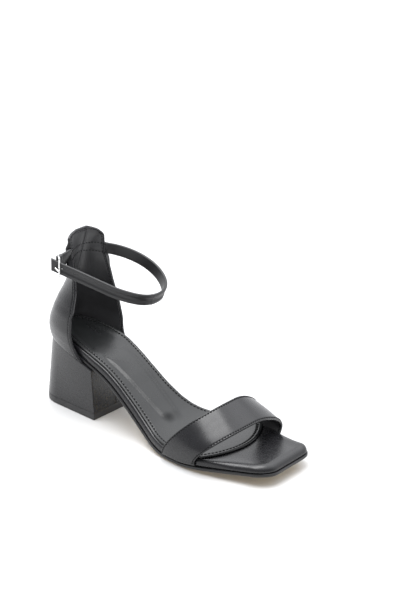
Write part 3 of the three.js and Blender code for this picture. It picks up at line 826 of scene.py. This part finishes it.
def face_line(around, height, offset):
    normal = counter_normal(around, height)
    step = tunnel_step(height) if offset > 0 else 0 * height
    line = counter_surface(around, height) + normal * (offset + step)[:, None]
    return line, normal * (1 if offset > 0 else -1), False


def strap_rows(offset):
    around = np.linspace(-0.9, 0.9, 60)
    middle = strap_share(around)
    return [face_line(around, middle + side * STRAP_ROWS / COUNTER_RISE, offset) for side in (-1, 1)]


sew("counter_stitches", [rim_seam(2.3, -0.2), rim_seam(2.5, -2.08)], "leather",
    pitch=2.4, length=1.8, thickness=0.6)
sew("tab_stitches", strap_rows(-0.05) + strap_rows(-2.06), "leather",
    pitch=2.5, length=1.9, thickness=0.75)


# Toe strap: one wide band of leather with a thin lining, drawn over the forepart.
# Its ends are lasted under the board; both long edges are folded and sewn close to the fold.
STRAP_ENDS = {-1: (0.612, 0.758), 1: (0.715, 0.847)}
STRAP_TOP = (0.766, 0.857)
STRAP_HIGH = (48.3, 34.4)
STRAP_SIDES = {-1: (2.7, 1.8), 1: (1.8, 4.8)}  # squareness and bow of the outer and inner side
TOE_STRAP_THICKNESS = 2.0
TOE_STRAP_MARGIN = 7.0
TOE_SEAM = 1.5


def mix(pair, share):
    return pair[0] + (pair[1] - pair[0]) * share


def side_pair(side, pairs):
    return [side_value(side, {s: pairs[s][i] for s in (-1, 1)}) for i in (0, 1)]


def toe_strap_place(across, share):
    """across -1 outer edge of the board, over the foot, to 1 the inner one; share 0 rear, 1 front."""
    side = np.where(across < 0, -1, 1)
    end_x = SOLE_REAR + SOLE_LENGTH * mix(side_pair(side, STRAP_ENDS), share)
    end_y = half_breadth(end_x, side, 0.6) + GAP + TOE_STRAP_THICKNESS / 2
    margin = 2.5 + GAP + TOE_STRAP_THICKNESS / 2
    bend = TOE_STRAP_THICKNESS
    past = np.abs(across) - 1
    turn = np.clip(past / 0.1, 0, 1) * math.pi / 2
    inward = np.maximum(past - 0.1, 0) * 10 * TOE_STRAP_MARGIN
    under_y = end_y - bend * (1 - np.cos(turn)) - inward
    under = sole_point(end_x, side * under_y, margin + bend * (1 - np.sin(turn)))
    squareness, bow = side_pair(side, STRAP_SIDES)
    angle = np.pi / 2 * (1 - np.minimum(np.abs(across), 1))
    rise = np.sin(angle) ** (2 / squareness)
    low = sole_point(end_x, side * end_y, margin + bend)
    high = mix(STRAP_HIGH, share) - TOE_STRAP_THICKNESS / 2
    top_x = SOLE_REAR + SOLE_LENGTH * mix(STRAP_TOP, share)
    width = end_y * np.maximum(np.cos(angle), 0) ** (2 / squareness)
    over = np.stack([
        low[..., 0] + (top_x - low[..., 0]) * rise**1.3,
        side * (width + bow * np.sin(np.pi * rise) * np.cos(angle)),
        low[..., 2] + (high - low[..., 2]) * rise,
    ], -1)
    return np.where((past > 0)[..., None], under, over)


def toe_strap_normal(across, share):
    return surface_normal(toe_strap_place, across, np.clip(share, 0.01, 0.99), 0.01)


def over_foot(count):
    """Places across the foot from board to board, closer together at the board."""
    return np.sin(np.linspace(-1, 1, count) * 1.25) / math.sin(1.25)


def toe_strap_width(across):
    front, rear = toe_strap_place(across, 0 * across + 1), toe_strap_place(across, 0 * across)
    return np.linalg.norm(front - rear, axis=1)


def toe_strap():
    over = np.concatenate([np.linspace(-1.2, -1.1, 6)[:-1], np.linspace(-1.1, -1, 8)[:-1]])
    stations = np.concatenate([over, over_foot(150), -over[::-1]])
    width = toe_strap_width(stations)
    spacing = edged(width, 64)
    rows, layers = spacing.shape[1] - 1, 4
    corners, faces, sides = block_faces(len(stations) - 1, rows, layers)
    across = stations[corners[:, 0]]
    local = width[corners[:, 0]]
    run = spacing[corners[:, 0], corners[:, 1]]
    distance = np.minimum(run, local - run)
    depth = corners[:, 2] / layers
    pulled = 0.22 * swell(distance - TOE_SEAM, 0.4) * (np.abs(across) < 1.02)
    end = rounded((1.2 - np.abs(across)) * 70, 0.8, 0.2)
    half = TOE_STRAP_THICKNESS / 2 * rounded(distance, 0.75, 0.25, 2.3) * end
    out = (2 * depth - 1) * half - pulled * np.sign(depth - 0.5)
    share = run / local
    points = toe_strap_place(across, share) + toe_strap_normal(across, share) * out[:, None]
    return mesh_from("toe_band", points, faces), sides


toe_piece, toe_sides = toe_strap()
two_finishes(toe_piece, toe_sides != "bottom")
dress(toe_piece, "toe_strap", "leather", upper_leather, tab_lining, sharp=75)


def toe_seam(rear, side):
    across = over_foot(120)
    width = toe_strap_width(across)
    share = TOE_SEAM / width if rear else 1 - TOE_SEAM / width
    normal = toe_strap_normal(across, share)
    return toe_strap_place(across, share) + side * 0.95 * normal, side * normal, False


toe_seams = [toe_seam(rear, side) for rear in (True, False) for side in (1, -1)]
sew("toe_strap_stitches", toe_seams, "leather", pitch=2.4, length=1.85, thickness=1.0)


# Ankle strap: leather folded round a thin core, its two folded edges meeting along the inside.
# It runs through the back tab and round the ankle; its short end is doubled round the hinge bar.
SHORT_END = [(-0.4, -34.6, -3.6), (-0.1, -31.0, -2.5), (0.3, -26.6, -1.2)]
STRAP_LOOP = [
    (7, 26.6), (15, 33.2), (25.2, 37.7), (36, 38.5), (46.6, 35.6), (55.5, 29.3), (61, 21), (62.4, 12),
    (61.6, 5.2), (59, -1.2), (53.8, -7.8), (45.6, -14.8), (36.2, -20), (26.7, -24.7), (17.2, -29.4),
    (9, -33.8), (4.5, -36), (2.5, -36.9), (-0.8, -38.5),
]
SPARE_HOLES = (0.875, 0.915)
HOLE_DIAMETER = 1.5
STRAP_THICKNESS = 2.2
FOLD_THICKNESS = 4.0
FOLD_HANG = 3.4  # how far the doubled end's lower edge hangs below the strap's
CREASE = 0.655


def plan_place(x, y):
    return strap_place(TAB_EDGE + x, y)


def strap_knots():
    short = np.array([(TAB_EDGE + x, y, ANKLE_HEIGHT + z) for x, y, z in SHORT_END])
    around = np.array([-1, -0.72, -0.45, -0.2, 0, 0.2, 0.45, 0.72, 1.0])
    tunnel = in_tunnel(around, strap_share(around))
    loop = np.array([plan_place(x, y) for x, y in STRAP_LOOP])
    return np.concatenate([short, tunnel, loop])


class Course:
    """Smooth curve through knots, read by a share of its knots from 0 to 1."""

    def __init__(self, knots):
        knots = np.asarray(knots, float)
        self.knots = np.concatenate([[2 * knots[0] - knots[1]], knots, [2 * knots[-1] - knots[-2]]])

    def point(self, share):
        share = np.clip(np.asarray(share, float), 0, 1)
        place = share * (len(self.knots) - 3)
        i = np.minimum(place.astype(int), len(self.knots) - 4)
        u = (place - i)[:, None]
        p = [self.knots[i + k] for k in range(4)]
        d = [np.sqrt(np.linalg.norm(p[k + 1] - p[k], axis=1))[:, None] for k in range(3)]
        start = (p[1] - p[0]) / d[0] - (p[2] - p[0]) / (d[0] + d[1]) + (p[2] - p[1]) / d[1]
        end = (p[2] - p[1]) / d[1] - (p[3] - p[1]) / (d[1] + d[2]) + (p[3] - p[2]) / d[2]
        start, end = start * d[1], end * d[1]
        cubic = 2 * p[1] - 2 * p[2] + start + end
        square = -3 * p[1] + 3 * p[2] - 2 * start - end
        return ((cubic * u + square) * u + start) * u + p[1]

    def tangent(self, share):
        share = np.asarray(share, float)
        return unit(self.point(share + 5e-4) - self.point(share - 5e-4))


strap_course = Course(strap_knots())


def strap_frame(share):
    """Middle line of the strap, the way of its width and the way out of its face."""
    share = np.asarray(share, float)
    lean = TILT * np.clip(share / 0.1, 0, 1) * np.clip((1 - share) / 0.03, 0, 1)
    up = np.stack([np.sin(lean), 0 * lean, np.cos(lean)], -1)
    return strap_course.point(share), up, unit(np.cross(strap_course.tangent(share), up))


def even_shares(step):
    """Shares of the strap from end to end, a step of millimetres apart."""
    fine = np.linspace(0, 1, 4000)
    run = run_length(strap_course.point(fine))
    wanted = edged([run[-1]], max(int(run[-1] / step), 2 * len(NEAR_EDGE) + 4))[0]
    return np.interp(wanted, run, fine), wanted


def ankle_band():
    shares, run = even_shares(0.75)
    across = edged([STRAP_WIDTH], 34)[0]
    corners, faces, _ = block_faces(len(shares) - 1, len(across) - 1, 3)
    share, along, w = shares[corners[:, 0]], run[corners[:, 0]], across[corners[:, 1]]
    place, up, out = strap_frame(share)
    edge = np.minimum(w, STRAP_WIDTH - w)
    ends = np.minimum(along, run[-1] - along)
    inner, outer = strap_shape(share, w - STRAP_WIDTH / 2, edge, ends)
    offset = inner + (outer - inner) * corners[:, 2] / 3
    low = FOLD_HANG * (1 - w / STRAP_WIDTH) * (1 - ramp(share, 0.07, 0.12))
    points = place + up * (w - low - STRAP_WIDTH / 2)[:, None] + out * offset[:, None]
    return mesh_from("ankle_band", points, faces)


def strap_shape(share, w, edge, ends):
    """How far the strap's inner and outer faces stand from its middle line."""
    fold = 1 - ramp(share, 0.027, 0.042)
    half = (STRAP_THICKNESS + (FOLD_THICKNESS - STRAP_THICKNESS) * fold) / 2
    full = half * rounded(edge, 0.75, 0.12) * rounded(ends, 0.9, 0.12)
    core = 0.1 * np.clip(1 - (w / 4.2) ** 2, 0, 1)
    meet = 0.75 * np.exp(-((w / 1.9) ** 6)) * ramp(share, 0.445, 0.45) * (1 - ramp(share, 0.93, 0.95))
    turned = 0.08 * swell(edge - 1.15, 0.35)
    place, _, _ = strap_frame(share)
    dents = 0 * share
    for hole in SPARE_HOLES:
        middle = strap_course.point([hole])[0]
        reach = np.hypot(np.linalg.norm(place - middle, axis=1), w)
        dents = dents + 0.18 * swell(reach, 1.3)
    crease = 0.8 * swell(share - CREASE, 0.003) - 0.25 * swell(share - CREASE, 0.01)
    outer = full + core - turned - dents - crease
    inner = -full + meet - crease * 0.4
    return inner, outer


def punched(piece):
    """The strap with its spare holes, straight through its middle line."""
    for share in SPARE_HOLES:
        middle, _, out = (value[0] for value in strap_frame([share]))
        bpy.ops.mesh.primitive_cylinder_add(vertices=20, radius=HOLE_DIAMETER * 0.0005, depth=0.008)
        pin = bpy.context.active_object
        turn = Vector(out).to_track_quat("Z", "Y").to_matrix().to_4x4()
        pin.data.transform(Matrix.Translation(Vector(middle) * 0.001) @ turn)
        modifier = piece.modifiers.new("hole", "BOOLEAN")
        modifier.operation = "DIFFERENCE"
        modifier.solver = "EXACT"
        modifier.object = pin
        piece = solid_copy(piece)
        bpy.data.objects.remove(pin)
    return piece


strap_leather = leather_material("fine_strap_leather", (0.012, 0.012, 0.013), 0.42, 1.0)
dress(punched(ankle_band()), "ankle_strap", "leather", strap_leather, sharp=60)


# Buckle: a small polished wire frame, hinged in the short end's fold.
# Its prong turns on the hinge bar, comes up through a hole of the strap and rests on the front bar.
HINGE_BAR = plan_place(1.5, -33.1) * [1, 1, 0] + [0, 0, ANKLE_HEIGHT - 4.8]
FRONT_BAR = plan_place(6.7, -37.4) * [1, 1, 0] + [0, 0, ANKLE_HEIGHT - 5.7]
HINGE_HEIGHT = 15.0
FRONT_HEIGHT = 17.4
WIRE = 1.4
BEND = 1.6
PRONG_PATH = [(1.74, -34.2), (2.3, -35.6), (2.9, -37.2), (4, -38.7), (5.9, -39.3), (8.3, -39.4)]


def tube(name, path, radii, closed):
    """Round wire along a path, closed or with rounded ends."""
    around = 18
    path = np.asarray(path, float)
    radii = np.broadcast_to(radii, len(path))
    if closed:
        tangent = unit(np.roll(path, -1, 0) - np.roll(path, 1, 0))
    else:
        tangent = unit(np.gradient(path, axis=0))
    side = unit(np.cross(tangent, [0.31, 0.2, 0.93]))
    up = np.cross(side, tangent)
    angle = np.linspace(0, 2 * np.pi, around, endpoint=False)
    circle = np.cos(angle)[None, :, None] * side[:, None] + np.sin(angle)[None, :, None] * up[:, None]
    points = (path[:, None] + circle * radii[:, None, None]).reshape(-1, 3)
    count = len(path)
    faces = []
    for i in range(count if closed else count - 1):
        ring, following = i * around, ((i + 1) % count) * around
        for j in range(around):
            beside = (j + 1) % around
            faces.append((ring + j, following + j, following + beside, ring + beside))
    piece = mesh_from(name, points, np.array(faces))
    if not closed:
        work = bmesh.new()
        work.from_mesh(piece.data)
        bmesh.ops.holes_fill(work, edges=[edge for edge in work.edges if edge.is_boundary])
        bmesh.ops.recalc_face_normals(work, faces=work.faces)
        work.to_mesh(piece.data)
        work.free()
    return piece


def buckle_path():
    forward = FRONT_BAR - HINGE_BAR
    length = np.linalg.norm(forward)
    forward = forward / length
    up = unit(np.array([0, 0, 1.0]) - forward * forward[2])
    corners = [(0, -HINGE_HEIGHT), (length, -FRONT_HEIGHT), (length, FRONT_HEIGHT), (0, HINGE_HEIGHT)]
    corners = np.array([(x, y / 2 - np.sign(y) * WIRE / 2) for x, y in corners])
    path = []
    for i, corner in enumerate(corners):
        before = corner + unit(corners[i - 1] - corner) * BEND
        ahead = unit(corners[(i + 1) % 4] - corner) * BEND
        after = corner + ahead
        for u in np.linspace(0, 1, 8):
            path.append((1 - u) ** 2 * before + 2 * u * (1 - u) * corner + u * u * after)
        run = corners[(i + 1) % 4] - ahead - after
        path += [after + run * u for u in (0.25, 0.5, 0.75)]
    return np.array([HINGE_BAR + x * forward + y * up for x, y in path])


def metal_material():
    material, tree, shader, place = new_material("polished_buckle_metal", 0.16, Metallic=1.0)
    cloudy = noise(tree, place, 300, 3)
    worn = noise(tree, place, 3200, 2)
    shades = [(0.3, (0.78, 0.78, 0.77)), (0.7, (0.86, 0.86, 0.85))]
    feed(tree, shader, {
        "Base Color": ramp_colours(tree, cloudy, shades),
        "Roughness": spread(tree, cloudy, 0.12, 0.22),
        "Normal": bumped(tree, worn, 0.03, 0.3),
    })
    return material


metal = metal_material()
dress(tube("buckle_wire", buckle_path(), WIRE / 2, True), "buckle_frame", "buckle_metal", metal)
prong_run = np.concatenate([[0, 0.004, 0.012], np.linspace(0.03, 0.94, 30), [0.965, 0.985, 0.996, 1.0]])
prong_width = np.interp(prong_run, [0, 0.004, 0.012, 0.03, 0.6, 0.94, 0.965, 0.985, 0.996, 1],
                        [0.25, 0.5, 0.65, 0.7, 0.66, 0.52, 0.48, 0.36, 0.2, 0.06])
prong_course = Course([plan_place(x, y) for x, y in PRONG_PATH])
prong = tube("buckle_pin", prong_course.point(prong_run), prong_width, False)
dress(prong, "buckle_prong", "buckle_metal", metal)


# Studio: a plain white floor under wide soft light from overhead, the room darker before the shoe.
# The camera stands where the photograph was taken from.
LIGHT_FROM = (0.0, 0.08, 0.997)
LIGHT_STRENGTH = 1.6
DARK_SIDE = (0.4, -0.87, 0.3)
ROOM_BACK, ROOM_FRONT = 1.3, 0.4
LAMP_PLACE = (-0.04, -0.26, 1.37)
LAMP_SIZE = (1.05, 1.3)
SHOE_MIDDLE = (0.09, 0, 0.05)


def floor_material():
    material, tree, shader, place = new_material("white_floor", 0.3, Specular_IOR_Level=0.3)
    feed(tree, shader, {
        "Base Color": (0.55, 0.55, 0.55, 1), "Emission Color": (1, 1, 1, 1), "Emission Strength": 0.08,
        "Roughness": spread(tree, noise(tree, place, 6, 2), 0.26, 0.34),
    })
    return material


def sky():
    world = bpy.data.worlds.new("studio")
    world.use_nodes = True
    tree = world.node_tree
    way = put(tree, "ShaderNodeTexCoord").outputs["Generated"]
    terms = []
    for towards, start, end, low, high in (
        (LIGHT_FROM, 0.5, 0.86, 0, LIGHT_STRENGTH), (DARK_SIDE, -0.3, 0.6, ROOM_BACK, ROOM_FRONT),
    ):
        facing = put(tree, "ShaderNodeVectorMath", {0: way, 1: towards}, operation="DOT_PRODUCT")
        terms.append(spread(tree, facing.outputs["Value"], low, high, start, end,
                            interpolation_type="SMOOTHSTEP"))
    glow = put(tree, "ShaderNodeMath", {0: terms[0], 1: terms[1]}, operation="ADD")
    values = {"Color": (0.965, 0.975, 1, 1), "Strength": glow.outputs["Value"]}
    feed(tree, tree.nodes["Background"], values)
    bpy.context.scene.world = world


def studio():
    mesh = bpy.data.meshes.new("floor")
    mesh.from_pydata([(-9, -9, 0), (9, -9, 0), (9, 9, 0), (-9, 9, 0)], [], [(0, 1, 2, 3)])
    mesh.materials.append(floor_material())
    add_object("floor", mesh)
    bpy.context.scene.view_settings.view_transform = "Standard"


def overhead_light():
    """Wide soft lamp above the shoe, turned to it."""
    light = bpy.data.lights.new("top", "AREA")
    light.shape = "RECTANGLE"
    light.size, light.size_y = LAMP_SIZE
    light.energy = 25
    lamp = add_object("top", light)
    lamp.location = LAMP_PLACE
    aim = Vector(SHOE_MIDDLE) - Vector(LAMP_PLACE)
    lamp.rotation_euler = aim.to_track_quat("-Z", "Y").to_euler()


def camera():
    lens = bpy.data.cameras.new("camera")
    lens.sensor_width = 36
    lens.lens = 86.55
    lens.clip_start = 0.05
    eye = add_object("camera", lens)
    right = Vector((0.772516, 0.634732, 0.018291))
    up = Vector((-0.241993, 0.267647, 0.932633))
    back = Vector((0.587076, -0.724900, 0.360363))
    turn = Matrix((right, up, back)).transposed().to_4x4()
    eye.matrix_world = Matrix.Translation((0.7466, -0.7759, 0.5027)) @ turn
    bpy.context.scene.camera = eye


sky()
studio()
overhead_light()
camera()
